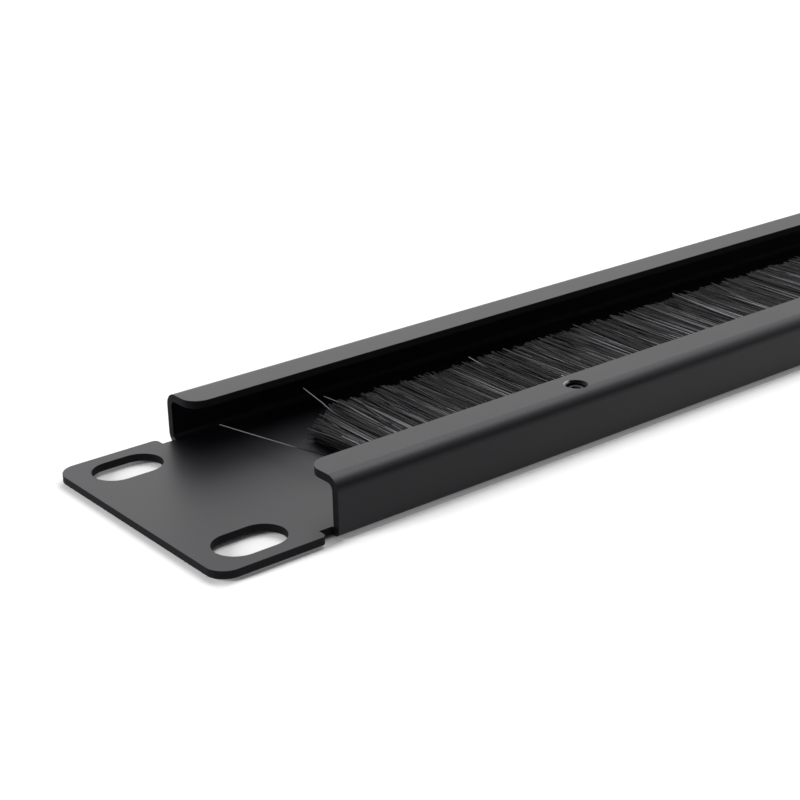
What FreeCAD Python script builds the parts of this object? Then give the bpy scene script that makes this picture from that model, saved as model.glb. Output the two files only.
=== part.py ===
import FreeCAD, Part
import math
import os
import Sketcher

# Brush strip panel for a 19 inch rack, one unit high. All sizes are millimetres.
#
# The panel lies on its front face, as it does when it is set down on a bench.
# X runs along its length, Y across its height in the rack, and Z from the front face
# towards the inside of the rack. The origin is the middle of the front face.
# The brush strip sits on the -Y side, under the lip there, and its bristles point to +Y.

# Driving dimensions: name, value, what it measures.
SIZES = [
    ("panel_length", 482.6, "over both ears"),
    ("panel_height", 43.6, "height of an ear: one rack unit less its clearance"),
    ("sheet_gauge", 1.2, "thickness of the folded sheet"),
    ("bend_radius", 1.0, "inside radius of every fold"),
    ("ear_length", 19.4, "end of the panel to the end of a flange"),
    ("ear_corner_radius", 3.0, "outer corners of the ears"),
    ("flange_setback", 0.3, "edge of an ear to the outer face of a flange"),
    ("folded_depth", 8.7, "front face to the outer face of a lip"),
    ("lip_width", 7.2, "outer face of a flange to the free edge of its lip"),
    ("lip_corner_radius", 3.0, "free corners of the lips"),
    ("relief_width", 2.2, "bend relief between an ear and a flange"),
    ("relief_depth", 1.85, "long edge of an ear to the bottom of the relief"),
    ("relief_corner_radius", 0.8, "corner of an ear at the relief"),
    ("rack_slot_length", 11.1, "slot for the rack bolt, end to end"),
    ("rack_slot_width", 7.2, "slot for the rack bolt, across"),
    ("rack_slot_inset", 8.75, "end of the panel to the middle of a slot"),
    ("rack_slot_edge", 5.925, "long edge of an ear to the middle of a slot"),
    ("strip_inset", 14.5, "end of a flange to the end of the brush strip"),
    ("strip_back_gap", 0.05, "flange to the back of the brush holder"),
    ("strip_mouth_setback", 0.65, "free edge of the lip to the mouth of the holder"),
    ("clamp_gap", 1.9, "top of the holder to the underside of the lip"),
    ("holder_gauge", 0.7, "thickness of the holder's wall"),
    ("holder_bend_radius", 0.4, "inside radius of the holder's back corners"),
    ("jaw_length", 1.3, "length of the holder's wall that is pinched in"),
    ("root_thickness", 1.6, "bristle pack where the jaws grip it"),
    ("wire_diameter", 1.1, "wire that the bristles are folded over"),
    ("wire_clearance", 0.05, "around the wire, all round"),
    ("fold_flat", 0.4, "straight part of the fold behind the wire"),
    ("pack_lead", 0.6, "bristle pack out of the mouth before it parts into tufts"),
    ("cable_slot_near_margin", 2.6, "mouth of the holder to the cable slot"),
    ("cable_slot_far_margin", 16.35, "cable slot to the far fold"),
    ("cable_slot_overrun", 7.4, "brush strip past each end of the cable slot"),
    ("cable_slot_corner_radius", 3.0, "corners of the cable slot"),
    ("tip_gap", 11.5, "far flange to the trimmed tips of the bristles"),
    ("tuft_count", 104, "tufts along the strip"),
    ("tuft_gap", 0.35, "between two tufts"),
    ("tuft_root_thickness", 1.4, "tuft where it leaves the pack"),
    ("tuft_tip_thickness", 2.3, "tuft at the tips"),
    ("tuft_lean", 0.2, "most that a tuft's tip leans along the strip"),
    ("tuft_lift", 0.25, "most that a tuft's tip stands up or down"),
    ("tip_unevenness", 0.4, "most that a tuft is longer or shorter than the trimmed line"),
    ("ridge_depth", 0.24, "furrow between two bundles of filaments"),
    ("screw_inset", 47.7, "end of a flange to the first clamp screw"),
    ("screw_edge", 3.6, "free edge of the lip to the clamp screws"),
    ("screw_count", 4, "clamp screws along the lip"),
    ("screw_diameter", 3.0, "M3 clamp screw"),
    ("screw_clearance", 0.05, "around the screw in its tapped hole"),
    ("screw_recess", 0.6, "outer face of the lip down to the screw"),
    ("screw_point_diameter", 2.0, "flat point that presses on the holder"),
    ("screw_chamfer", 0.25, "edge of the screw's socket end"),
    ("socket_across_flats", 1.5, "hexagon socket"),
    ("socket_depth", 1.2, "hexagon socket"),
    ("hole_chamfer", 0.3, "countersunk edge of the tapped hole"),
    ("collar_wall", 0.6, "wall of the drawn collar at its end"),
    ("collar_draft", 0.3, "how much thicker the collar is where it leaves the lip"),
    ("collar_clearance", 0.5, "end of the collar to the holder"),
]

# Bundles of filaments that show on each side of a tuft.
RIDGES_PER_TUFT = 4

# How fast the tufts' length, lean and lift change from one tuft to the next, in radians.
LENGTH_STEP = 2.4
LEAN_STEP = 0.9
LIFT_STEP = 1.7

doc = FreeCAD.newDocument("RackBrushPanel")
sheet = doc.addObject("Spreadsheet::Sheet", "Sizes")
for row, (alias, value, note) in enumerate(SIZES, start=1):
    sheet.set(f"A{row}", str(value))
    sheet.set(f"B{row}", note)
    sheet.setAlias(f"A{row}", alias)
doc.recompute()

ALIASES = [alias for alias, value, note in SIZES]

# Places that several pieces share, each written once from the sheet's cells.
PLACES = {
    "half_length": "panel_length / 2",
    "half_height": "panel_height / 2",
    "outer_bend": "(bend_radius + sheet_gauge)",
    "flange_out": "(half_height - flange_setback)",
    "flange_in": "(flange_out - sheet_gauge)",
    "bend_line": "(flange_out - outer_bend)",
    "flange_end": "(half_length - ear_length)",
    "relief_end": "(flange_end + relief_width)",
    "relief_floor": "(half_height - relief_depth)",
    "lip_edge": "(flange_out - lip_width)",
    "lip_under": "(folded_depth - sheet_gauge)",
    "slot_x": "(half_length - rack_slot_inset)",
    "slot_y": "(half_height - rack_slot_edge)",
    "strip_end": "(flange_end - strip_inset)",
    "holder_back": "(flange_in - strip_back_gap)",
    "holder_mouth": "(lip_edge + strip_mouth_setback)",
    "holder_top": "(lip_under - clamp_gap)",
    "strip_axis": "((sheet_gauge + holder_top) / 2)",
    "cavity_half": "((holder_top - sheet_gauge) / 2 - holder_gauge)",
    "wire_y": "(holder_back - holder_gauge - cavity_half)",
    "opening_near": "(holder_mouth - cable_slot_near_margin)",
    "opening_far": "(bend_line - cable_slot_far_margin)",
    "opening_end": "(strip_end - cable_slot_overrun)",
    "tips": "(flange_in - tip_gap)",
    "tuft_pitch": "(2 * strip_end / tuft_count)",
    "screw_x": "(flange_end - screw_inset)",
    "screw_y": "(lip_edge + screw_edge)",
    "screw_top": "(folded_depth - screw_recess)",
    "hole_radius": "(screw_diameter / 2)",
    "collar_end": "(holder_top + collar_clearance)",
}


def in_cells(text):
    """Write a size expression out in the sheet's own cells."""
    words = []
    word = ""
    for letter in text + " ":
        if letter.isalnum() or letter == "_":
            word += letter
            continue
        if word in PLACES:
            words.append("(" + in_cells(PLACES[word]).strip() + ")")
        elif word in ALIASES:
            words.append("Sizes." + word)
        else:
            words.append(word)
        words.append(letter)
        word = ""
    return "".join(words)


def size(text):
    """The value of a size expression, in millimetres, for the first sketch of a shape."""
    return float(sheet.evalExpression(in_cells(text).replace("Sizes.", "")))


def bind(item, prop, text):
    item.setExpression(prop, in_cells(text))


def new_body(label):
    body = doc.addObject("PartDesign::Body", label)
    body.Label = label
    return body


def origin_item(body, role):
    return next(item for item in body.Origin.OriginFeatures if item.Role == role)


def new_sketch(body, name, plane="XY_Plane", offset=None):
    """A sketch on one of the body's own origin planes, moved by the offsets given."""
    sketch = body.newObject("Sketcher::SketchObject", name)
    sketch.AttachmentSupport = [(origin_item(body, plane), "")]
    sketch.MapMode = "FlatFace"
    for axis, text in (offset or {}).items():
        bind(sketch, f"AttachmentOffset.Base.{axis}", text)
    return sketch


def pin(sketch, kind, number, end, text):
    """Hold one end of a line or arc at a size expression from the sketch's origin."""
    index = sketch.addConstraint(Sketcher.Constraint(kind, -1, 1, number, end, size(text)))
    name = f"{kind}_{number}_{end}"
    sketch.renameConstraint(index, name)
    bind(sketch, f"Constraints.{name}", text)


def pin_radius(sketch, number, text):
    index = sketch.addConstraint(Sketcher.Constraint("Radius", number, size(text)))
    sketch.renameConstraint(index, f"Radius_{number}")
    bind(sketch, f"Constraints.Radius_{number}", text)


def direction(start, end):
    """Unit step from one corner towards the next."""
    run = (size(end[0]) - size(start[0]), size(end[1]) - size(start[1]))
    reach = math.hypot(*run)
    return run[0] / reach, run[1] / reach


def beside(corner, step, sign):
    """Where a rounded corner meets one of its two straight edges, which run along an axis."""
    across, up = corner[0], corner[1]
    if abs(step[0]) > abs(step[1]):
        mark = "+" if sign * step[0] > 0 else "-"
        across = f"{across} {mark} ({corner[2]})"
    else:
        mark = "+" if sign * step[1] > 0 else "-"
        up = f"{up} {mark} ({corner[2]})"
    return across, up


def draw_outline(sketch, corners):
    """Close a loop of corners (across, up) or (across, up, radius), pinned to the sheet."""
    count = len(corners)
    marks = []
    for index, corner in enumerate(corners):
        before = corners[index - 1]
        after = corners[(index + 1) % count]
        if len(corner) == 2:
            marks.append((corner, corner, None))
            continue
        start = beside(corner, direction(before, corner), -1)
        end = beside(corner, direction(corner, after), 1)
        marks.append((start, end, corner))
    first = sketch.GeometryCount
    total = sum(2 if mark[2] else 1 for mark in marks)
    number = first
    for index, (start, end, corner) in enumerate(marks):
        after = marks[(index + 1) % count][0]
        if corner:
            sketch.addGeometry(corner_arc(start, end, corner), False)
            pin(sketch, "DistanceX", number, arc_end(start, end, corner), start[0])
            pin(sketch, "DistanceY", number, arc_end(start, end, corner), start[1])
            number += 1
        a = FreeCAD.Vector(size(end[0]), size(end[1]), 0)
        b = FreeCAD.Vector(size(after[0]), size(after[1]), 0)
        sketch.addGeometry(Part.LineSegment(a, b), False)
        pin(sketch, "DistanceX", number, 1, end[0])
        pin(sketch, "DistanceY", number, 1, end[1])
        number += 1
    number = first
    for index, (start, end, corner) in enumerate(marks):
        if corner:
            finish = 3 - arc_end(start, end, corner)
            sketch.addConstraint(Sketcher.Constraint("Coincident", number, finish, number + 1, 1))
            pin_radius(sketch, number, corner[2])
            number += 1
        following = first + (number + 1 - first) % total
        after = marks[(index + 1) % count]
        side = arc_end(*after) if after[2] else 1
        sketch.addConstraint(Sketcher.Constraint("Coincident", number, 2, following, side))
        number += 1


def turn_of(start, end, corner):
    """Above zero where the loop turns left at this corner."""
    into = (size(corner[0]) - size(start[0]), size(corner[1]) - size(start[1]))
    out = (size(end[0]) - size(corner[0]), size(end[1]) - size(corner[1]))
    return into[0] * out[1] - into[1] * out[0]


def arc_end(start, end, corner):
    """Which end of a corner's arc the loop comes in at: arcs are stored anticlockwise."""
    return 1 if turn_of(start, end, corner) > 0 else 2


def corner_arc(start, end, corner):
    radius = size(corner[2])
    a = (size(start[0]), size(start[1]))
    b = (size(end[0]), size(end[1]))
    centre = (a[0] + b[0] - size(corner[0]), a[1] + b[1] - size(corner[1]))
    if turn_of(start, end, corner) < 0:
        a, b = b, a
    circle = Part.Circle(FreeCAD.Vector(*centre, 0), FreeCAD.Vector(0, 0, 1), radius)
    angles = [math.atan2(p[1] - centre[1], p[0] - centre[0]) for p in (a, b)]
    if angles[1] < angles[0]:
        angles[1] += 2 * math.pi
    return Part.ArcOfCircle(circle, *angles)


def extrude(body, kind, name, sketch, length=None, both_ways=False, upwards=False):
    """A pad or pocket. Without a length it goes through everything."""
    feature = body.newObject(f"PartDesign::{kind}", name)
    feature.Profile = sketch
    sketch.Visibility = False
    if both_ways:
        feature.SideType = "Symmetric"
    if length is None:
        feature.Type = "ThroughAll"
    else:
        bind(feature, "Length", length)
    feature.Reversed = upwards
    doc.recompute()
    return feature


def revolve(body, kind, name, sketch):
    """A revolution or groove about the sketch's vertical axis."""
    feature = body.newObject(f"PartDesign::{kind}", name)
    feature.Profile = sketch
    feature.ReferenceAxis = (sketch, ["V_Axis"])
    feature.Angle = 360
    doc.recompute()
    return feature


def round_edges(body, name, places, radius):
    """Fillet the upright edges that stand at the given places (x, y)."""
    base = body.Tip
    wanted = [(size(x), size(y)) for x, y in places]
    edges = []
    for number, edge in enumerate(base.Shape.Edges, start=1):
        ends = [vertex.Point for vertex in edge.Vertexes]
        if len(ends) != 2 or abs(ends[0].z - ends[1].z) < size("sheet_gauge") / 2:
            continue
        for x, y in wanted:
            if all(math.hypot(p.x - x, p.y - y) < 1e-4 for p in ends):
                edges.append(f"Edge{number}")
    fillet = body.newObject("PartDesign::Fillet", name)
    fillet.Base = (base, edges)
    bind(fillet, "Radius", radius)
    doc.recompute()
    return fillet


def four_ways(x, y):
    return [(f"{a}{x}", f"{b}{y}") for a in ("", "-") for b in ("", "-")]


def draw_slot(sketch, x, y, length, width):
    """A slot with round ends that runs along X, about the middle given."""
    first = sketch.GeometryCount
    reach = f"(({length}) - ({width})) / 2"
    radius = f"({width}) / 2"
    up = FreeCAD.Vector(0, 0, 1)
    right = FreeCAD.Vector(size(f"{x} + {reach}"), size(y), 0)
    left = FreeCAD.Vector(size(f"{x} - {reach}"), size(y), 0)
    rise = FreeCAD.Vector(0, size(radius), 0)
    half_turn = math.pi / 2
    right_arc = Part.ArcOfCircle(Part.Circle(right, up, size(radius)), -half_turn, half_turn)
    left_arc = Part.ArcOfCircle(Part.Circle(left, up, size(radius)), half_turn, 3 * half_turn)
    sketch.addGeometry(right_arc, False)
    sketch.addGeometry(Part.LineSegment(right + rise, left + rise), False)
    sketch.addGeometry(left_arc, False)
    sketch.addGeometry(Part.LineSegment(left - rise, right - rise), False)
    for step in range(4):
        here = first + step
        there = first + (step + 1) % 4
        sketch.addConstraint(Sketcher.Constraint("Tangent", here, 2, there, 1))
    sketch.addConstraint(Sketcher.Constraint("Horizontal", first + 1))
    pin(sketch, "DistanceX", first, 3, f"{x} + {reach}")
    pin(sketch, "DistanceY", first, 3, y)
    pin(sketch, "DistanceX", first + 2, 3, f"{x} - {reach}")
    pin_radius(sketch, first, radius)


def make_panel():
    """One folded sheet: front face with ears, two flanges, two lips folded inwards."""
    body = new_body("panel")

    # The front face: two ears joined by the web, with a relief beside each fold.
    face = new_sketch(body, "FaceOutline")
    ear = [
        ("half_length", "half_height", "ear_corner_radius"),
        ("relief_end", "half_height", "relief_corner_radius"),
        ("relief_end", "relief_floor"),
        ("flange_end", "relief_floor"),
        ("flange_end", "bend_line"),
    ]
    left_top = [mirror_corner(corner, "-", "") for corner in reversed(ear)]
    left_low = [mirror_corner(corner, "-", "-") for corner in ear]
    right_low = [mirror_corner(corner, "", "-") for corner in reversed(ear)]
    draw_outline(face, ear + left_top + left_low + right_low)
    extrude(body, "Pad", "Face", face, "sheet_gauge")

    # One flange with its lip as a bent section, mirrored to the other side.
    section = new_sketch(body, "FlangeSection", "YZ_Plane")
    draw_outline(section, [
        ("bend_line - sheet_gauge", "0"),
        ("flange_out", "0", "outer_bend"),
        ("flange_out", "folded_depth", "outer_bend"),
        ("lip_edge", "folded_depth"),
        ("lip_edge", "lip_under"),
        ("flange_in", "lip_under", "bend_radius"),
        ("flange_in", "sheet_gauge", "bend_radius"),
        ("bend_line - sheet_gauge", "sheet_gauge"),
    ])
    flange = extrude(body, "Pad", "Flange", section, "2 * flange_end", both_ways=True)
    other = body.newObject("PartDesign::Mirrored", "OtherFlange")
    other.Originals = [flange]
    other.MirrorPlane = (origin_item(body, "XZ_Plane"), [""])
    body.Tip = other
    doc.recompute()
    round_edges(body, "LipCorners", four_ways("flange_end", "lip_edge"), "lip_corner_radius")

    # Four slots for the rack bolts, two in each ear.
    slots = new_sketch(body, "RackSlots")
    for x, y in four_ways("slot_x", "slot_y"):
        draw_slot(slots, x, y, "rack_slot_length", "rack_slot_width")
    extrude(body, "Pocket", "RackSlotCut", slots, upwards=True)

    # The long opening that the cables pass through, behind the bristles.
    opening = new_sketch(body, "CableSlot")
    draw_outline(opening, [
        ("opening_end", "opening_far", "cable_slot_corner_radius"),
        ("-opening_end", "opening_far", "cable_slot_corner_radius"),
        ("-opening_end", "-opening_near", "cable_slot_corner_radius"),
        ("opening_end", "-opening_near", "cable_slot_corner_radius"),
    ])
    extrude(body, "Pocket", "CableSlotCut", opening, "sheet_gauge", upwards=True)

    # Tapped holes in the near lip, each drawn down into a collar for more thread.
    at_screw = {"x": "-screw_x", "z": "screw_y"}
    collar_sketch = new_sketch(body, "CollarSection", "XZ_Plane", at_screw)
    draw_outline(collar_sketch, [
        ("0", "folded_depth - sheet_gauge / 2"),
        ("0", "collar_end"),
        ("hole_radius + collar_wall", "collar_end"),
        ("hole_radius + collar_wall + collar_draft", "lip_under"),
        ("hole_radius + collar_wall + collar_draft", "folded_depth - sheet_gauge / 2"),
    ])
    collar = revolve(body, "Revolution", "Collar", collar_sketch)
    hole_sketch = new_sketch(body, "TappedHoleSection", "XZ_Plane", at_screw)
    draw_outline(hole_sketch, [
        ("0", "folded_depth + sheet_gauge"),
        ("0", "collar_end - sheet_gauge"),
        ("hole_radius", "collar_end - sheet_gauge"),
        ("hole_radius", "folded_depth - hole_chamfer"),
        ("hole_radius + hole_chamfer", "folded_depth"),
        ("hole_radius + hole_chamfer", "folded_depth + sheet_gauge"),
    ])
    hole = revolve(body, "Groove", "TappedHole", hole_sketch)
    row = body.newObject("PartDesign::LinearPattern", "TappedHoles")
    row.Originals = [collar, hole]
    row.Direction = (origin_item(body, "X_Axis"), [""])
    bind(row, "Length", "2 * screw_x")
    bind(row, "Occurrences", "screw_count")
    body.Tip = row
    doc.recompute()
    return body


def mirror_corner(corner, across, up):
    return (across + corner[0], up + corner[1]) + corner[2:]


def make_brush_holder():
    """Formed channel that the bristles are clinched into, its jaws pinched inwards."""
    body = new_body("brush_holder")
    section = new_sketch(body, "HolderSection", "YZ_Plane")
    jaw = "-holder_mouth - jaw_length"
    back_outer = "holder_bend_radius + holder_gauge"
    draw_outline(section, [
        ("-holder_mouth", "strip_axis + root_thickness / 2"),
        ("-holder_mouth", "strip_axis + root_thickness / 2 + holder_gauge"),
        (jaw, "holder_top"),
        ("-holder_back", "holder_top", back_outer),
        ("-holder_back", "sheet_gauge", back_outer),
        (jaw, "sheet_gauge"),
        ("-holder_mouth", "strip_axis - root_thickness / 2 - holder_gauge"),
        ("-holder_mouth", "strip_axis - root_thickness / 2"),
        (jaw, "sheet_gauge + holder_gauge"),
        ("-holder_back + holder_gauge", "sheet_gauge + holder_gauge", "holder_bend_radius"),
        ("-holder_back + holder_gauge", "holder_top - holder_gauge", "holder_bend_radius"),
        (jaw, "holder_top - holder_gauge"),
    ])
    extrude(body, "Pad", "Holder", section, "2 * strip_end", both_ways=True)
    return body


def make_core_wire():
    """Straight wire along the holder, with the bristles folded round it."""
    wire = doc.addObject("Part::Cylinder", "core_wire")
    wire.Label = "core_wire"
    wire.Placement.Rotation = FreeCAD.Rotation(FreeCAD.Vector(0, 1, 0), 90)
    bind(wire, "Radius", "wire_diameter / 2")
    bind(wire, "Height", "2 * strip_end")
    bind(wire, "Placement.Base.x", "-strip_end")
    bind(wire, "Placement.Base.y", "-wire_y")
    bind(wire, "Placement.Base.z", "strip_axis")
    return wire


def make_bristle_pack():
    """The bristles inside the holder: folded behind the wire and gripped in the mouth."""
    body = new_body("bristle_pack")
    section = new_sketch(body, "PackSection", "YZ_Plane")
    jaw = "-holder_mouth - jaw_length"
    lead = "-holder_mouth + pack_lead"
    inside = "-holder_back + holder_gauge"
    fold = "cavity_half - fold_flat / 2"
    draw_outline(section, [
        (lead, "strip_axis + root_thickness / 2"),
        ("-holder_mouth", "strip_axis + root_thickness / 2"),
        (jaw, "strip_axis + cavity_half"),
        (inside, "strip_axis + cavity_half", fold),
        (inside, "strip_axis - cavity_half", fold),
        (jaw, "strip_axis - cavity_half"),
        ("-holder_mouth", "strip_axis - root_thickness / 2"),
        (lead, "strip_axis - root_thickness / 2"),
    ])
    bore = section.GeometryCount
    centre = FreeCAD.Vector(size("-wire_y"), size("strip_axis"), 0)
    radius = "wire_diameter / 2 + wire_clearance"
    section.addGeometry(Part.Circle(centre, FreeCAD.Vector(0, 0, 1), size(radius)), False)
    pin(section, "DistanceX", bore, 3, "-wire_y")
    pin(section, "DistanceY", bore, 3, "strip_axis")
    pin_radius(section, bore, radius)
    extrude(body, "Pad", "Pack", section, "2 * strip_end", both_ways=True)
    return body


def tuft_outline(along, across, thickness, lift):
    """Ridged section of one tuft, standing across the bristles at the given place."""
    width = size("tuft_pitch - tuft_gap")
    depth = size("ridge_depth")
    steps_across = 2 * RIDGES_PER_TUFT
    corners = []
    for side in (1, -1):
        for step in range(steps_across + 1):
            furrow = depth if step % 2 == 0 else 0
            x = along + side * width * (0.5 - step / steps_across)
            z = size("strip_axis") + lift + side * (thickness / 2 - furrow)
            corners.append(FreeCAD.Vector(x, across, z))
    return Part.makePolygon(corners + corners[:1])


def make_bristles(pack):
    """The pack and its tufts. Every tuft has its own length, lean and lift, so each is lofted alone."""
    tufts = []
    count = int(size("tuft_count"))
    root = size("-holder_mouth + pack_lead / 2")
    for number in range(count):
        along = -size("strip_end") + size("tuft_pitch") * (number + 0.5)
        end = size("tips") + size("tip_unevenness") * math.sin(LENGTH_STEP * number)
        lean = size("tuft_lean") * math.sin(LEAN_STEP * number)
        lift = size("tuft_lift") * math.cos(LIFT_STEP * number)
        low = tuft_outline(along, root, size("tuft_root_thickness"), 0)
        high = tuft_outline(along + lean, end, size("tuft_tip_thickness"), lift)
        tufts.append(Part.makeLoft([low, high], True, True))
    brush = doc.addObject("Part::Feature", "bristles")
    brush.Label = "bristles"
    brush.Shape = pack.Shape.multiFuse(tufts).Solids[0]
    return brush


def make_clamp_screw(number, share):
    """Flat-point socket set screw in the lip that presses the holder onto the web."""
    body = new_body(f"clamp_screw_{number}")
    profile = new_sketch(body, f"ScrewProfile{number}", "XZ_Plane")
    radius = "hole_radius - screw_clearance"
    point = "screw_point_diameter / 2"
    draw_outline(profile, [
        ("0", "screw_top"),
        ("0", "holder_top"),
        (point, "holder_top"),
        (radius, f"holder_top + {radius} - {point}"),
        (radius, "screw_top - screw_chamfer"),
        (f"{radius} - screw_chamfer", "screw_top"),
    ])
    revolve(body, "Revolution", f"Screw{number}", profile)
    socket = new_sketch(body, f"Socket{number}", "XY_Plane", {"z": "screw_top"})
    corner = f"socket_across_flats * {0.5 / math.cos(math.pi / 6):.6f}"
    draw_outline(socket, [
        (f"{corner} * {math.cos(math.radians(turned)):.6f}",
         f"{corner} * {math.sin(math.radians(turned)):.6f}")
        for turned in range(0, 360, 60)
    ])
    extrude(body, "Pocket", f"SocketCut{number}", socket, "socket_depth")
    bind(body, "Placement.Base.x", f"-screw_x + 2 * screw_x * {share}")
    bind(body, "Placement.Base.y", "-screw_y")
    return body


pieces = [make_panel(), make_brush_holder(), make_core_wire()]
pieces.append(make_bristles(make_bristle_pack()))
screws = int(size("screw_count"))
for index in range(screws):
    pieces.append(make_clamp_screw(index + 1, f"{index} / {screws - 1}"))
doc.recompute()

for item in doc.Objects:
    if "Invalid" in item.State or "Error" in item.State:
        raise RuntimeError(f"{item.Label} did not build: {item.State}")
for piece in pieces:
    if piece.Shape.isNull() or not piece.Shape.isValid():
        raise RuntimeError(f"{piece.Label} has no valid shape")

os.makedirs("parts", exist_ok=True)
for piece in pieces:
    piece.Shape.exportStep(f"parts/{piece.Label}.step")
    solids = len(piece.Shape.Solids)
    print(piece.Label, "solids", solids, "volume mm3", round(piece.Shape.Volume, 1))
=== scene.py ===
# %% [markdown]
# # A brush strip panel for a 19 inch rack
# The panel is one folded sheet of steel, one rack unit high, lying on its front face.
# A brush strip is clamped under its near lip, and the bristles reach over the long slot
# that the cables go through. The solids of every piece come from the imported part, in
# metres, with the front face at the bottom. This lesson gives each piece its finish,
# makes one fold of the sheet tighter, grows the real filaments of the brush in place of
# their solid, and sets up the studio. X runs along the panel and Z is up. The near side,
# with the brush holder, is at negative Y, and the left end is at negative X.

import math

import bpy
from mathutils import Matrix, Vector


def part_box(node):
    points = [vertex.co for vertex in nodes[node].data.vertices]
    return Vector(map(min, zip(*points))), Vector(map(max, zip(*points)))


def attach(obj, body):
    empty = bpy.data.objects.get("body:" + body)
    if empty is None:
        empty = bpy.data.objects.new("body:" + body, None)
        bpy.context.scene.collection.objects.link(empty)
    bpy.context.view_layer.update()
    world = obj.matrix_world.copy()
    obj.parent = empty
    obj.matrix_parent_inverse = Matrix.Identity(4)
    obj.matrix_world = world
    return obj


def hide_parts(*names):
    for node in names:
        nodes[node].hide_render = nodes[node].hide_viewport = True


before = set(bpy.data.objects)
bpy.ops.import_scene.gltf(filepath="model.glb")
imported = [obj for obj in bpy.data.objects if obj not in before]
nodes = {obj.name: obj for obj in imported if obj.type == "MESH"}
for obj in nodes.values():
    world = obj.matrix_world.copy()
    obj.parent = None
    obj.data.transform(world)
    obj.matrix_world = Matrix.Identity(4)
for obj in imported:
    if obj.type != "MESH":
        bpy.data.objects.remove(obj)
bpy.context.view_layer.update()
MM = 0.001
for name in sorted(nodes):
    low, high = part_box(name)
    print(name, "size mm", [round(side / MM, 2) for side in high - low])

# %% [markdown]
# ## Node trees written as sums
# A shader or a geometry tree is a lot of small boxes joined by wires. They can be clicked
# together by hand, but a formula is easier to read. So one small class wraps a socket:
# plus, minus, times and divide on it add Math nodes, and one method makes every other
# node from its type, its settings and the values or links of its inputs. The same class
# serves materials and Geometry Nodes, because both kinds of tree share the Math node.
# Most patterns here are masks, numbers from 0 to 1, so the class can also make a mask
# that rises, one that falls and one that does both.

# %% A socket that can be added and multiplied
class Signal:
    def __init__(self, tree, socket=None):
        self.tree = tree
        self.socket = socket

    def make(self, kind, settings=None, inputs=None, output=0):
        """Any node. Its settings come first, then the values or links of its sockets."""
        node = self.tree.nodes.new(kind)
        for name, value in (settings or {}).items():
            setattr(node, name, value)
        for name, value in (inputs or {}).items():
            if isinstance(value, Signal):
                self.tree.links.new(value.socket, node.inputs[name])
            else:
                node.inputs[name].default_value = value
        return Signal(self.tree, node.outputs[output])

    def math(self, operation, *values):
        return self.make("ShaderNodeMath", {"operation": operation}, dict(enumerate(values)))

    def other(self, output):
        """Another output of the same node."""
        return Signal(self.tree, self.socket.node.outputs[output])

    def __add__(self, value):
        return self.math("ADD", self, value)

    def __radd__(self, value):
        return self.math("ADD", value, self)

    def __sub__(self, value):
        return self.math("SUBTRACT", self, value)

    def __rsub__(self, value):
        return self.math("SUBTRACT", value, self)

    def __mul__(self, value):
        return self.math("MULTIPLY", self, value)

    def __rmul__(self, value):
        return self.math("MULTIPLY", value, self)

    def __truediv__(self, value):
        return self.math("DIVIDE", self, value)

    def __pow__(self, value):
        return self.math("POWER", self, value)

    def clamped(self):
        return self.math("MINIMUM", self.math("MAXIMUM", self, 0.0), 1.0)

    def ramp(self, start, end):
        """0 before start, 1 after end, smooth between."""
        return self.make("ShaderNodeMapRange", {"interpolation_type": "SMOOTHSTEP"},
                         {"Value": self, "From Min": start, "From Max": end})

    def fall(self, start, end):
        """1 before start, 0 after end, smooth between."""
        return 1.0 - self.ramp(start, end)

    def band(self, rise, fall):
        """1 between two places. It rises over the first pair and falls over the second."""
        return self.ramp(*rise) * self.fall(*fall)


# %% [markdown]
# ## A material to fill in
# Every finish here is one Principled shader. Numbers that are the same all over a piece
# are typed into its sockets. Only what changes over the surface is linked: colour,
# roughness, metal and the bump. A pattern is tied to the piece by its Object coordinates,
# which are the part's own metres, so it stays put in every view.

# %% Helpers for a material
def new_material(name, **constants):
    """A material with these numbers on its shader, and a loose signal for formulas."""
    material = bpy.data.materials.new(name)
    material.use_nodes = True
    shader = material.node_tree.nodes["Principled BSDF"]
    for socket, value in constants.items():
        shader.inputs[socket.replace("_", " ")].default_value = value
    return material, Signal(material.node_tree)


def feed(material, **signals):
    """Link what changes over the surface to the shader, and print which sockets it is."""
    tree = material.node_tree
    shader = tree.nodes["Principled BSDF"]
    for socket, signal in signals.items():
        tree.links.new(signal.socket, shader.inputs[socket.replace("_", " ")])
    varied = ", ".join(signals).replace("_", " ")
    print(material.name, "has", len(tree.nodes), "nodes for", varied)


def place_of(start):
    """Where a point is on the piece, in the part's own metres."""
    return start.make("ShaderNodeTexCoord").other("Object")


def split(vector):
    x = vector.make("ShaderNodeSeparateXYZ", None, {"Vector": vector})
    return x, x.other("Y"), x.other("Z")


# %% Noise, mixed colours and bump
def noise(start, vector, per_metre, detail=2.0, roughness=0.5):
    return start.make("ShaderNodeTexNoise", None, {
        "Vector": vector, "Scale": per_metre, "Detail": detail, "Roughness": roughness})


def blend(start, factor, first, second):
    """A colour between two others. Colours go through Mix, because Math turns them grey."""
    mixed = start.make("ShaderNodeMix", {"data_type": "RGBA"}, {"Factor": factor})
    sockets = mixed.socket.node.inputs
    colour_a, colour_b = 6, 7
    for number, colour in ((colour_a, first), (colour_b, second)):
        if isinstance(colour, Signal):
            start.tree.links.new(colour.socket, sockets[number])
        else:
            sockets[number].default_value = (*colour, 1.0)
    colour_out = 2
    return mixed.other(colour_out)


def bump(start, height, distance):
    """Dents and ridges for the light alone. A height of 1 stands for the distance."""
    return start.make("ShaderNodeBump", None, {"Height": height, "Distance": distance})


def dress(names, material):
    """Give CAD pieces a new material and leave their meshes as they are."""
    for name in names:
        mesh = nodes[name].data
        mesh.materials.clear()
        mesh.materials.append(material)


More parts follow.
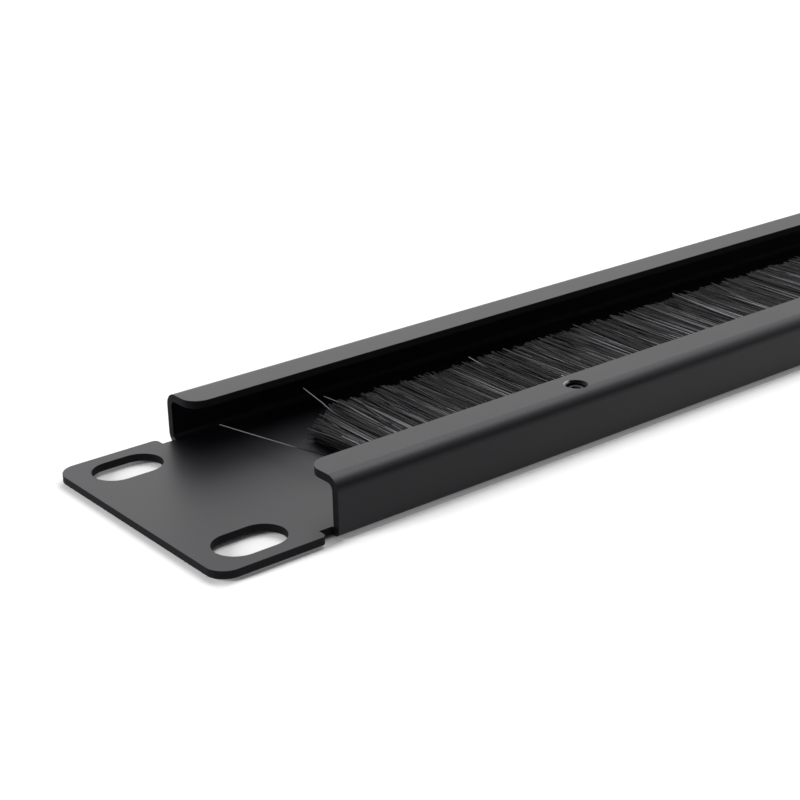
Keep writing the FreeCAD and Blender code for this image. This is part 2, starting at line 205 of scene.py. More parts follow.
# %% [markdown]
# ## Black powder coat
# The coat is nearly black itself. What makes the folded lips look grey is the satin
# surface mirroring the pale room at a low angle, so the colour stays dark and the
# roughness does the work. Baked powder is never quite flat: it has a fine orange peel,
# and it is a little thicker and duller in places. A picture could carry that, but noise
# stays sharp at any distance and needs no unwrapping.

# %% The powder itself
THIN_POWDER, THICK_POWDER = (0.0018, 0.0018, 0.0026), (0.0028, 0.0028, 0.0038)
POWDER_ROUGHNESS, PATCH_ROUGHNESS, PEEL_ROUGHNESS = 0.36, 0.08, 0.03
PEEL_PER_METRE, PATCHES_PER_METRE = 1500.0, 45.0
coat, start = new_material("black_powder_coat", IOR=1.31,
                           Specular_Tint=(0.955, 0.95, 1.0, 1.0))
place = place_of(start)
x, y, z = split(place)
peel = noise(start, place, PEEL_PER_METRE, detail=1.0)
patches = noise(start, place, PATCHES_PER_METRE, detail=3.0)
powder_colour = blend(start, patches, THIN_POWDER, THICK_POWDER)
powder_roughness = POWDER_ROUGHNESS + patches * PATCH_ROUGHNESS + peel * PEEL_ROUGHNESS
print("orange peel about mm", round(1 / PEEL_PER_METRE / MM, 2), "across")

# %% [markdown]
# ## Bare steel at the screw holes
# The holes are countersunk and tapped after painting, so their walls and rims are bare
# metal. Their steel is coloured nearly black, which is painted shade, and one spot on each
# rim, towards the far left, is a painted highlight in brighter steel. The screws stand at
# even steps, so one formula serves all four holes: it takes a point's distance from the
# nearest screw's axis, and the masks for wall, rim and countersink are steps of that
# distance. The thread is a groove that climbs one pitch for each turn round the axis.

# %% Where the clamp screws sit
SCREWS = sorted(name for name in nodes if name.startswith("clamp_screw"))
screw_centres = []
for name in SCREWS:
    low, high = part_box(name)
    screw_centres.append((low + high) / 2)
first_low, first_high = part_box(SCREWS[0])
screw_top = first_high.z
screw_radius = (first_high.x - first_low.x) / 2
lip_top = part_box("panel")[1].z
THREAD_PITCH = 0.5 * MM
HOLE_RADIUS = screw_radius + 0.05 * MM
print("clamp screws at mm", [[round(v / MM, 2) for v in c] for c in screw_centres])


# %% Distance from the nearest screw, and the thread
def around_screws(x, y):
    """How far along X and along Y a point is from the axis of the nearest screw."""
    first = screw_centres[0]
    step = screw_centres[1].x - first.x
    nearest = x.math("ROUND", (x - first.x) / step)
    return x - first.x - nearest * step, y - first.y


def length_of(aside, away):
    return aside.math("SQRT", aside * aside + away * away)


def thread_height(aside, away, z):
    """One smooth V groove that climbs like a screw thread."""
    turn = aside.math("ARCTAN2", away, aside) / (2 * math.pi)
    climb = z / THREAD_PITCH - turn
    return climb.math("PINGPONG", climb, 0.5) * 2.0


# %% Masks round the screw holes
LIP_ONLY = (6.0 * MM, 6.1 * MM)
WALL_END = (HOLE_RADIUS + 0.02 * MM, HOLE_RADIUS + 0.05 * MM)
RIM_END = (HOLE_RADIUS + 0.34 * MM, HOLE_RADIUS + 0.42 * MM)
SINK_SLOPE = (HOLE_RADIUS - 0.10 * MM, HOLE_RADIUS + 0.42 * MM)
THREAD_END = (lip_top - 0.50 * MM, lip_top - 0.30 * MM)
# The glint masks mark one spot on each rim that gets a painted highlight.
GLINT_START = (HOLE_RADIUS + 0.04 * MM, HOLE_RADIUS + 0.12 * MM)
GLINT_FAR, GLINT_LEFT, GLINT_SPREAD = 0.88, 0.47, (0.74, 0.95)
aside, away = around_screws(x, y)
distance = length_of(aside, away)
at_lip = z.ramp(*LIP_ONLY)
wall = distance.fall(*WALL_END) * at_lip
rim = distance.fall(*RIM_END) * at_lip
sink = distance.fall(*SINK_SLOPE) * at_lip
thread = thread_height(aside, away, z) * wall * z.fall(*THREAD_END)
towards_glint = away / distance * GLINT_FAR - aside / distance * GLINT_LEFT
painted_glint = rim * towards_glint.ramp(*GLINT_SPREAD) * distance.ramp(*GLINT_START)
print("bare rim mm", round(HOLE_RADIUS / MM, 2), "to", round(RIM_END[1] / MM, 2))

# %% [markdown]
# ## Thin powder at the edges
# Powder shrinks back from the cut edges of the sheet and hardly reaches into the far inner
# corner, so it is thin and rough there. The edges could be painted by hand, but the sheet
# is made of flat parts at known places. So each edge is found by its place along the
# panel, across it and above its front face.

# %% Masks along the cut edges and in the far inner corner
FOLD_END = 221.9 * MM
PAST_FOLD = (FOLD_END + 0.02 * MM, FOLD_END + 0.05 * MM)
UP_TO_FOLD_END = (FOLD_END - 0.05 * MM, FOLD_END - 0.02 * MM)
ABOVE_WEB = (1.3 * MM, 1.5 * MM)
EAR_EDGE = ((0.04 * MM, 0.12 * MM), (1.10 * MM, 1.16 * MM))
LIP_EDGE = ((lip_top - 1.18 * MM, lip_top - 1.10 * MM),
            (lip_top - 0.10 * MM, lip_top - 0.04 * MM))
FLAT_OF_LIP = (19.1 * MM, 19.3 * MM)
CORNER_WIDTH = ((17.6 * MM, 18.6 * MM), (20.25 * MM, 20.28 * MM))
CORNER_HEIGHT = ((1.15 * MM, 1.18 * MM), (3.0 * MM, 4.0 * MM))
CORNER_ENDS = (FOLD_END - 8.0 * MM, FOLD_END)
FAR_SIDE_ONLY = (0.0, 1.0 * MM)
side_place = x.math("ABSOLUTE", y)
end_place = x.math("ABSOLUTE", x)
past_fold = end_place.ramp(*PAST_FOLD)
ear_edge = z.band(*EAR_EDGE) * past_fold
fold_edge = end_place.ramp(*UP_TO_FOLD_END) * (1.0 - past_fold) * z.ramp(*ABOVE_WEB)
lip_edge = z.band(*LIP_EDGE) * side_place.fall(*FLAT_OF_LIP)
cut_edge = (ear_edge + fold_edge + lip_edge).clamped()
inner_corner = (side_place.band(*CORNER_WIDTH) * z.band(*CORNER_HEIGHT)
                * end_place.fall(*CORNER_ENDS) * y.ramp(*FAR_SIDE_ONLY))
print("folds end at mm", round(FOLD_END / MM, 2), "and the lip's top is at mm",
      round(lip_top / MM, 2))

# %% Put the coat together
# The rim's steel colour is painted: nearly black as painted shade, and brighter at the painted
# glint.
SHADE_STEEL, GLINT_STEEL, STEEL_ROUGHNESS = (0.014, 0.014, 0.015), (0.36, 0.36, 0.37), 0.42
EDGE_ROUGHNESS, CORNER_ROUGHNESS = 0.42, 0.30
PEEL_MM, THREAD_MM, SINK_MM = 0.006, 0.12, 0.16
coat_roughness = powder_roughness + cut_edge * EDGE_ROUGHNESS + inner_corner * CORNER_ROUGHNESS
rim_shade_and_glint = blend(start, painted_glint, SHADE_STEEL, GLINT_STEEL)
height_mm = peel * PEEL_MM + thread * THREAD_MM - sink * SINK_MM
feed(coat,
     Base_Color=blend(start, rim, powder_colour, rim_shade_and_glint),
     Metallic=rim,
     Roughness=coat_roughness * (1.0 - rim) + rim * STEEL_ROUGHNESS,
     Normal=bump(start, height_mm, 1.0 * MM))
dress(["panel"], coat)

# %% [markdown]
# ## The tighter fold
# On the brush's side the fold between web and flange is pressed tighter than the other
# three, so that the panel stands on a crisp corner there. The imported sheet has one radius
# everywhere. The panel could be drawn again from its section, but its holes and slots
# would have to be cut again too. So this is a copy of its mesh, and only the rows of
# corners on that fold move: the first row down the flange, the next ones on to a smaller
# arc, and the rest on to the flat of the web. Their normals are worked out from the new
# arc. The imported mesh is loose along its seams, so the copy's corners are joined wherever
# they share a place.

# %% Sizes of the tighter fold
FLANGE_FACE = 21.5 * MM
RELIEF_WALL = 19.95 * MM
GAUGE = 1.2 * MM
LOOSE_FOLD = 2.2 * MM
FOLD_LINE = FLANGE_FACE - LOOSE_FOLD
FOLD_ROWS = 11
FOLDS = {
    "outside": {"radius": LOOSE_FOLD, "tight": 0.8 * MM, "last_row": 8,
                "face": FLANGE_FACE, "flat": 0.0},
    "inside": {"radius": LOOSE_FOLD - GAUGE, "tight": 0.2 * MM, "last_row": 5,
               "face": FLANGE_FACE - GAUGE, "flat": GAUGE},
}
CLOSE = 0.01 * MM
PART_OF_ROW = 0.1
QUARTER_TURN = math.pi / 2
for name, fold in FOLDS.items():
    print(name, "radius mm", round(fold["radius"] / MM, 2), "->", round(fold["tight"] / MM, 2))


# %% Where a corner of that fold goes
def on_fold(spot):
    """The surface of the near lower fold that a place is on, and the angle round it."""
    out = -spot.y - FOLD_LINE
    down = LOOSE_FOLD - spot.z
    if abs(spot.x) <= FOLD_END + CLOSE and out >= -CLOSE and down >= -CLOSE:
        for name, fold in FOLDS.items():
            if abs(math.hypot(out, down) - fold["radius"]) <= CLOSE:
                return name, math.atan2(down, out)
    return None, 0.0


def tightened(spot):
    """The new place of a corner on that fold, its old normal and its new one."""
    name, turn = on_fold(spot)
    if name is None:
        return None
    fold = FOLDS[name]
    last, tight = fold["last_row"], fold["tight"]
    row = turn / QUARTER_TURN * FOLD_ROWS
    new_turn = min(max((row - 1) / (last - 1), 0.0), 1.0) * QUARTER_TURN
    arc_z = fold["flat"] + tight
    if row > last + PART_OF_ROW:
        at_relief = abs(-spot.y - RELIEF_WALL) < CLOSE
        side, z = (RELIEF_WALL if at_relief else FOLD_LINE), fold["flat"]
    elif row < 1:
        side, z = fold["face"], LOOSE_FOLD + (arc_z - LOOSE_FOLD) * row
    else:
        side = fold["face"] - tight + tight * math.cos(new_turn)
        z = arc_z - tight * math.sin(new_turn)
    outward = 1.0 if name == "outside" else -1.0
    was, now = (Vector((0.0, -math.cos(angle), -math.sin(angle))) * outward
                for angle in (turn, new_turn))
    return Vector((spot.x, -side, z)), was, now


# %% The area of a face, and corners joined where they share a place
JOIN_WITHIN = 0.001 * MM


def area_of(ring):
    first = ring[0]
    crossed = [(b - first).cross(c - first) for b, c in zip(ring[1:], ring[2:])]
    return sum(crossed, Vector()).length / 2


def join_places(places):
    """The places without repeats, and each one's number among those kept."""
    kept, numbers, number_at = [], [], {}
    for place in places:
        key = tuple(round(value / JOIN_WITHIN) for value in place)
        if key not in number_at:
            number_at[key] = len(kept)
            kept.append(place)
        numbers.append(number_at[key])
    return kept, numbers


# %% A copy of the sheet with that fold tighter
NO_AREA = 1e-12
SAME_WAY = 0.9


def tighten_fold(source, name):
    """The copied mesh, less the faces that the tighter fold closes up."""
    moves = [tightened(corner.co) for corner in source.vertices]
    places = [move[0] if move else corner.co.copy()
              for move, corner in zip(moves, source.vertices)]
    kept, numbers = join_places(places)
    faces, smooth, normals = [], [], []
    for face in source.polygons:
        if area_of([places[corner] for corner in face.vertices]) < NO_AREA:
            continue
        faces.append([numbers[corner] for corner in face.vertices])
        smooth.append(face.use_smooth)
        for corner, loop in zip(face.vertices, face.loop_indices):
            normal = source.corner_normals[loop].vector.copy()
            if moves[corner] and normal.dot(moves[corner][1]) > SAME_WAY:
                normal = moves[corner][2]
            normals.append(normal)
    mesh = bpy.data.meshes.new(name)
    mesh.from_pydata(kept, [], faces)
    mesh.polygons.foreach_set("use_smooth", smooth)
    mesh.normals_split_custom_set(normals)
    return mesh


# %% Put the tighter sheet in the panel's place
loose_sheet = nodes["panel"].data
sheet = tighten_fold(loose_sheet, "folded_panel")
sheet.materials.append(coat)
folded_panel = bpy.data.objects.new("folded_panel", sheet)
bpy.context.scene.collection.objects.link(folded_panel)
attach(folded_panel, "root")
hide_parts("panel")
print("faces", len(loose_sheet.polygons), "->", len(sheet.polygons),
      "and corners", len(loose_sheet.vertices), "->", len(sheet.vertices))

# %% [markdown]
# ## The metal inside the strip
# The holder is rolled from zinc-plated strip. The rolls leave fine lines along it, and
# the zinc has dull and bright patches. The core wire is drawn, with lines along it too.
# Brushed metal can be faked with an anisotropic shader, but that loses the single lines.
# So both patterns are noise squeezed in X, which draws it out into long streaks.

# %% Zinc-plated holder
ZINC_DULL, ZINC_BRIGHT = (0.42, 0.43, 0.45), (0.58, 0.59, 0.60)
ZINC_ROUGHNESS, CLOUD_ROUGHNESS, LINE_ROUGHNESS = 0.30, 0.16, 0.08
STREAK_DEPTH = 0.01 * MM


def streaks(start, place, along, across):
    """Noise drawn out along X, with this many grains a metre each way."""
    stretched = start.make("ShaderNodeMapping", None,
                           {"Vector": place, "Scale": (along, across, across)})
    return noise(start, stretched, per_metre=1.0, detail=3.0)


zinc, start = new_material("zinc_plated_steel", Metallic=1.0)
place = place_of(start)
lines = streaks(start, place, along=30.0, across=9000.0)
clouds = noise(start, place, per_metre=260.0, detail=3.0)
feed(zinc,
     Base_Color=blend(start, clouds, ZINC_DULL, ZINC_BRIGHT),
     Roughness=ZINC_ROUGHNESS + clouds * CLOUD_ROUGHNESS + lines * LINE_ROUGHNESS,
     Normal=bump(start, lines, STREAK_DEPTH))
dress(["brush_holder"], zinc)

# %% Drawn wire
WIRE_DULL, WIRE_BRIGHT = (0.36, 0.36, 0.37), (0.52, 0.52, 0.53)
WIRE_ROUGHNESS, DRAW_ROUGHNESS = 0.26, 0.14
wire, start = new_material("wire_steel", Metallic=1.0)
draw_lines = streaks(start, place_of(start), along=60.0, across=16000.0)
feed(wire,
     Base_Color=blend(start, draw_lines, WIRE_DULL, WIRE_BRIGHT),
     Roughness=WIRE_ROUGHNESS + draw_lines * DRAW_ROUGHNESS,
     Normal=bump(start, draw_lines, STREAK_DEPTH))
dress(["core_wire"], wire)

# %% [markdown]
# ## Clamp screws
# The screws are black oxide: steel that stays steel, with a thin dark skin that the
# hexagon key rubs off at the rim of the socket. The side carries the same thread as the
# hole. The thread could be cut as geometry, but it would be hundreds of faces that nobody
# sees, so it is drawn with the hole's own formula. The rim is found by distance again,
# here with the socket's own radius.

# %% Black oxide screws
OXIDE_THIN, OXIDE_THICK = (0.014, 0.014, 0.015), (0.028, 0.028, 0.030)
RUBBED_STEEL = (0.20, 0.20, 0.21)
OXIDE_ROUGHNESS, SKIN_ROUGHNESS, RUBBED_SHARE = 0.46, 0.16, 0.15
SKIN_MM, SCREW_THREAD_MM = 0.05, 0.25
SOCKET_RIM = ((0.70 * MM, 0.80 * MM), (0.90 * MM, 1.00 * MM))
RUB_TOP, RUB_FADE = screw_top - 0.1 * MM, 0.05 * MM
SCREW_SIDE = (screw_radius - 0.08 * MM, screw_radius - 0.02 * MM)
oxide, start = new_material("black_oxide_steel", IOR=1.3, Specular_IOR_Level=0.25)
place = place_of(start)
x, y, z = split(place)
aside, away = around_screws(x, y)
distance = length_of(aside, away)
skin = noise(start, place, per_metre=1400.0, detail=3.0)
rubbed = distance.band(*SOCKET_RIM) * z.ramp(RUB_TOP - RUB_FADE, RUB_TOP) * RUBBED_SHARE
screw_thread = thread_height(aside, away, z) * distance.ramp(*SCREW_SIDE)
oxide_colour = blend(start, skin, OXIDE_THIN, OXIDE_THICK)
feed(oxide,
     Base_Color=blend(start, rubbed, oxide_colour, RUBBED_STEEL),
     Metallic=rubbed,
     Roughness=OXIDE_ROUGHNESS + skin * SKIN_ROUGHNESS,
     Normal=bump(start, skin * SKIN_MM + screw_thread * SCREW_THREAD_MM, 1.0 * MM))
dress(SCREWS, oxide)

# %% [markdown]
# ## The filaments of the brush
# A real strip is made of thousands of nylon filaments, each laid over a wire and folded
# in half, so both ends point out of the mouth of the holder. A flat sheet with a picture
# of hair would fail from the side, and hair particles are lost in an export. So Geometry
# Nodes duplicate one line thousands of times and bend every copy by a formula: round the
# wire, together at the jaws, apart towards the tips. Noise that many neighbours share
# makes the clumps and the painted shade of the furrows between them, and a number of its
# own gives every filament its length.

# %% Sizes of the strip, read from the solids it belongs to
holder_low, holder_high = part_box("brush_holder")
wire_low, wire_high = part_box("core_wire")
brush_low, brush_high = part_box("bristles")
WIRE_GAP = 0.18 * MM
WALL_AND_GAP = 0.84 * MM
JAW_DEPTH = 1.3 * MM
WEB_GAP = 0.12 * MM
STRIP = {
    "Wire Y": (wire_low.y + wire_high.y) / 2,
    "Axis Z": (wire_low.z + wire_high.z) / 2,
    "Inner Fold": (wire_high.z - wire_low.z) / 2 + WIRE_GAP,
    "Outer Fold": (holder_high.z - holder_low.z) / 2 - WALL_AND_GAP,
    "Jaw Y": holder_high.y - JAW_DEPTH,
    "Mouth Y": holder_high.y,
    "Mouth Half": 0.66 * MM,
    "Tip Half": 1.10 * MM,
    "Tip Y": 8.6 * MM,
    "Web Top": holder_low.z + WEB_GAP,
    "Strip Start": brush_low.x,
    "Strip End": brush_high.x,
}
print("brush length mm", round((brush_high.x - brush_low.x) / MM, 1))

# %% [markdown]
# ## Nylon
# Black nylon is nearly black, yet single filaments in a real brush catch the light and
# show grey, while the ones behind them stay dark. One glossy black would make them all
# alike. So that light is painted: every filament carries its own painted highlight and
# shade in an attribute, and a second one says how far out a point is, so that the tips
# get painted shade too.

# %% Filament material
NYLON_BLACK, NYLON_PAINTED_HIGHLIGHT = (0.003, 0.003, 0.0036), (0.290, 0.290, 0.302)
TONE_POWER, TIP_PAINTED_SHADE = 3.0, 0.85
NYLON_ROUGHNESS, PALE_SMOOTHING = 0.55, 0.15
nylon, start = new_material("black_bristle", IOR=1.28, Specular_IOR_Level=0.22)
painted_light = start.make("ShaderNodeAttribute", {"attribute_name": "painted_light"}).other("Fac")
reach = start.make("ShaderNodeAttribute", {"attribute_name": "reach"}).other("Fac")
# A painted highlight that fades into painted shade towards the tips.
painted_highlight = painted_light ** TONE_POWER * (1.0 - reach * reach * TIP_PAINTED_SHADE)
feed(nylon,
     Base_Color=blend(start, painted_highlight, NYLON_BLACK, NYLON_PAINTED_HIGHLIGHT),
     Roughness=NYLON_ROUGHNESS - painted_highlight * PALE_SMOOTHING)


# %% [markdown]
# ## The tree that grows the filaments
# Seventeen points are enough for one filament. The middle one lies behind the wire, two
# on each side go round it, the next two lead to the jaws and to the mouth, and the last
# four run out to the tip. Every copy has a number, and the number picks its random
# values, so the brush comes out the same each time.

# %% A geometry tree and its named inputs
def new_tree(name, sizes, counts):
    """A geometry tree with named inputs, as {name: signal}, and its output node."""
    tree = bpy.data.node_groups.new(name, "GeometryNodeTree")
    tree.is_modifier = True
    kinds = {label: "NodeSocketInt" for label in counts}
    kinds.update({label: "NodeSocketFloat" for label in sizes})
    kinds["Material"] = "NodeSocketMaterial"
    tree.interface.new_socket("Geometry", in_out="OUTPUT", socket_type="NodeSocketGeometry")
    for label, kind in kinds.items():
        tree.interface.new_socket(label, in_out="INPUT", socket_type=kind)
    source = tree.nodes.new("NodeGroupInput")
    signals = {label: Signal(tree, source.outputs[label]) for label in kinds}
    return tree, signals, tree.nodes.new("NodeGroupOutput")


def random_for(number, seed, low=0.0, high=1.0):
    """One random number for each filament, the same at all its points."""
    return number.make("FunctionNodeRandomValue", {"data_type": "FLOAT"},
                       {"Min": low, "Max": high, "ID": number, "Seed": seed}, output=1)


def shared_noise(x, row, per_metre, shift):
    """Noise that neighbours along the strip share, different above and below."""
    where = x.make("ShaderNodeCombineXYZ", None, {"X": x, "Y": row + shift, "Z": 0.0})
    return noise(x, where, per_metre, detail=2.0, roughness=0.6) - 0.5


# %% One line, copied, and where each point of it stands in the fold
POINTS = 17
ROUND_WIRE, AT_JAWS, AT_MOUTH, AT_TIP = 2.0, 3.0, 4.0, 8.0


def copied_lines(into):
    """The copies of one line, each one's number, and each point's side and step."""
    line = into["Seed"].make("GeometryNodeCurvePrimitiveLine")
    line = line.make("GeometryNodeResampleCurve", {"mode": "COUNT"},
                     {"Curve": line, "Count": POINTS})
    copies = line.make("GeometryNodeDuplicateElements", {"domain": "SPLINE"},
                       {"Geometry": line, "Amount": into["Filaments"]})
    index = line.make("GeometryNodeSplineParameter").other("Index")
    point = index - (POINTS - 1) / 2
    side = point.math("SIGN", point)
    step = point.math("ABSOLUTE", point)
    return copies, copies.other("Duplicate Index"), side, step


# %% Which filament: its place along the strip, its layer and its tip
SIDE_ROW, LAYER_ROW = 0.02, 0.004
LENGTH_RANGE = (-1.0, 0.7)
FEW_LONG, LONG_REACH = 60.0, 2.0
LENGTH_CLUMPS, LENGTH_CLUMP_SIZE = 420.0, 1.6
END_ZONE, END_SHORTER = 8.0 * MM, 2.8 * MM


def pick_filament(into, number, side):
    """What sets a filament apart from its neighbours."""
    seed = into["Seed"]
    share = (number + random_for(number, seed)) / into["Filaments"]
    x = into["From X"] + share * (into["To X"] - into["From X"])
    layer = random_for(number, seed + 1)
    row = side * SIDE_ROW + layer * LAYER_ROW
    uneven = random_for(number, seed + 2, *LENGTH_RANGE) * random_for(number, seed + 3)
    long_one = random_for(number, seed + 9) ** FEW_LONG
    middle = (into["Strip Start"] + into["Strip End"]) * 0.5
    inward = x.math("SIGN", middle - x)
    half_length = (into["Strip End"] - into["Strip Start"]) * 0.5
    to_end = half_length - x.math("ABSOLUTE", middle - x)
    near_end = to_end.fall(0.0, END_ZONE)
    clump = shared_noise(x, row, LENGTH_CLUMPS, shift=7.0) * LENGTH_CLUMP_SIZE
    tip = (into["Tip Y"] - near_end * END_SHORTER
           + into["Uneven"] * (uneven + clump + long_one * LONG_REACH))
    return x, layer, row, inward * near_end, near_end, tip


# %% Where on the filament: round the wire, to the jaws, to the mouth, out to the tip
MOUTH_CORE = 0.1 * MM


def follow_fold(into, step, layer, tip):
    """How far across the panel and how far from the middle height each point is."""
    fold = into["Inner Fold"] + layer * (into["Outer Fold"] - into["Inner Fold"])
    angle = step.math("MINIMUM", step, ROUND_WIRE) * (math.pi / 4)
    out = ((step - AT_MOUTH) / (AT_TIP - AT_MOUTH)).clamped()
    to_jaw = (step - ROUND_WIRE).clamped()
    to_mouth = (step - AT_JAWS).clamped()
    along = (into["Wire Y"] - fold * angle.math("COSINE", angle)
             + to_jaw * (into["Jaw Y"] - into["Wire Y"])
             + to_mouth * (into["Mouth Y"] - into["Jaw Y"])
             + out * (tip - into["Mouth Y"]))
    at_mouth = MOUTH_CORE + layer * (into["Mouth Half"] - MOUTH_CORE)
    at_tip = layer * into["Tip Half"]
    up = (fold * angle.math("SINE", angle)
          + to_mouth * (at_mouth - fold) + out * (at_tip - at_mouth))
    return along, up, out


# %% Neighbours lean and lift together, and every filament a little by itself
WIDE_SWAY, FINE_SWAY, WIDE_LIFT = 330.0, 1100.0, 260.0
WIDE_SWAY_SIZE, WIDE_LIFT_SIZE = 2.0, 2.0
ALONE_SWAY, STRAY_SWAY, FEW_STRAY = 0.35, 2.5, 24.0
ALONE_LIFT = (-0.6, 0.6)
END_LEAN, END_SINK = 0.9 * MM, 1.0 * MM
WEB_LAYER = 0.4 * MM


def lean_and_lift(into, number, x, row, inward_end, near_end, side, up, out):
    """The point's X and Z. It never goes below the web."""
    seed = into["Seed"]
    bend = out * out
    alone = random_for(number, seed + 4, -1.0, 1.0)
    stray = random_for(number, seed + 5) ** FEW_STRAY
    sway = (shared_noise(x, row, WIDE_SWAY, shift=1.0) * WIDE_SWAY_SIZE
            + shared_noise(x, row, FINE_SWAY, shift=3.0)
            + alone * ALONE_SWAY + alone * stray * STRAY_SWAY)
    heave = (shared_noise(x, row, WIDE_LIFT, shift=5.0) * WIDE_LIFT_SIZE
             + random_for(number, seed + 6, *ALONE_LIFT) + stray)
    across = x + bend * (into["Clump"] * sway + inward_end * END_LEAN)
    height = into["Axis Z"] + side * up + bend * (into["Lift"] * heave - near_end * END_SINK)
    lowest = into["Web Top"] + random_for(number, seed + 7) * WEB_LAYER
    return across, height.math("MAXIMUM", height, lowest)


# %% Each filament keeps its painted light and shade, and each point how far out it is, for the material
FURROW_SHADES_PER_METRE, FURROW_SHADE_EDGE = 2000.0, (-0.10, 0.04)
FURROW_SHADE_FLOOR, FURROW_SHADE_GAIN = 0.10, 0.90
SIDE_SHADE_BASE, SIDE_SHADE_GAIN = 0.82, 0.18


def keep_number(geometry, name, value):
    return geometry.make("GeometryNodeStoreNamedAttribute",
                         {"data_type": "FLOAT", "domain": "POINT"},
                         {"Geometry": geometry, "Name": name, "Value": value})


def with_painted_light(into, bent, number, x, row, side, out):
    # Painted light: a random highlight for each filament, darkened as painted shade on the
    # lower side of the fold and in the furrows between clumps.
    furrow_shade = shared_noise(x, row, FURROW_SHADES_PER_METRE, shift=11.0).ramp(*FURROW_SHADE_EDGE)
    painted_light_and_shade = (random_for(number, into["Seed"] + 8) * (SIDE_SHADE_BASE + side * SIDE_SHADE_GAIN)
             * (FURROW_SHADE_FLOOR + furrow_shade * FURROW_SHADE_GAIN))
    return keep_number(keep_number(bent, "painted_light", painted_light_and_shade), "reach", out)


# %% The whole tree
def filament_tree():
    tree, into, output = new_tree(
        "FoldedFilaments",
        ["From X", "To X", "Diameter", "Clump", "Lift", "Uneven", *STRIP],
        ["Filaments", "Seed"])
    copies, number, side, step = copied_lines(into)
    x, layer, row, inward_end, near_end, tip = pick_filament(into, number, side)
    along, up, out = follow_fold(into, step, layer, tip)
    across, height = lean_and_lift(
        into, number, x, row, inward_end, near_end, side, up, out)
    place = x.make("ShaderNodeCombineXYZ", None, {"X": across, "Y": along, "Z": height})
    bent = copies.make("GeometryNodeSetPosition", None,
                       {"Geometry": copies, "Position": place})
    toned = with_painted_light(into, bent, number, x, row, side, out)
    profile = x.make("GeometryNodeCurvePrimitiveCircle", {"mode": "RADIUS"},
                     {"Resolution": 3, "Radius": into["Diameter"] / 2})
    tubes = x.make("GeometryNodeCurveToMesh", None,
                   {"Curve": toned, "Profile Curve": profile, "Fill Caps": True})
    whole = x.make("GeometryNodeRealizeInstances", None, {"Geometry": tubes})
    coloured = x.make("GeometryNodeSetMaterial", None,
                      {"Geometry": whole, "Material": into["Material"]})
    tree.links.new(coloured.socket, output.inputs["Geometry"])
    return tree


folded = filament_tree()
print("the filament tree has", len(folded.nodes), "nodes")


# %% Turn a tree into a plain piece
def grow(name, tree, values):
    """Run a geometry tree with these inputs and keep the mesh that it makes."""
    carrier = bpy.data.objects.new(name + "_carrier", bpy.data.meshes.new(name + "_carrier"))
    bpy.context.scene.collection.objects.link(carrier)
    modifier = carrier.modifiers.new("Grow", "NODES")
    modifier.node_group = tree
    for item in tree.interface.items_tree:
        if item.in_out == "INPUT" and item.name in values:
            modifier[item.identifier] = values[item.name]
    carrier.update_tag()
    graph = bpy.context.evaluated_depsgraph_get()
    mesh = bpy.data.meshes.new_from_object(carrier.evaluated_get(graph), depsgraph=graph)
    carrier.modifiers.remove(modifier)
    bpy.data.objects.remove(carrier)
    mesh.name = name
    piece = bpy.data.objects.new(name, mesh)
    bpy.context.scene.collection.objects.link(piece)
    return piece


# %% Grow the brush in four lengths
SLICES = 4
FILAMENTS = 7000
FIRST_SEED, SEEDS_APART = 40, 20
FILAMENT_SIZES = {"Diameter": 0.20 * MM, "Clump": 1.3 * MM, "Lift": 0.8 * MM,
                  "Uneven": 1.1 * MM}
slice_length = (brush_high.x - brush_low.x) / SLICES
for index in range(SLICES):
    begin = brush_low.x + index * slice_length
    piece = grow(f"brush_filaments_{index + 1}", folded, {
        **STRIP,
        **FILAMENT_SIZES,
        "From X": begin,
        "To X": begin + slice_length,
        "Filaments": FILAMENTS // SLICES,
        "Seed": FIRST_SEED + SEEDS_APART * index,
        "Material": nylon,
    })
    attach(piece, "root")
    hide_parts("bristles")
    triangles = sum(len(face.vertices) - 2 for face in piece.data.polygons)
    print(piece.name, "triangles", triangles)

# %% [markdown]
# ## Strays
# A few filaments stand out of any brush that has been handled: one or two are longer
# than the rest, some rise above it, and one lies out to the side at the end of the strip.
# The tree could make them too, but chance would not put them where they are wanted. So
# each is its own thin tube through a few points, rooted in the mouth of the holder. Where
# it still lies in the brush it gets painted shade like the brush, and outside it turns
# pale as a painted highlight.

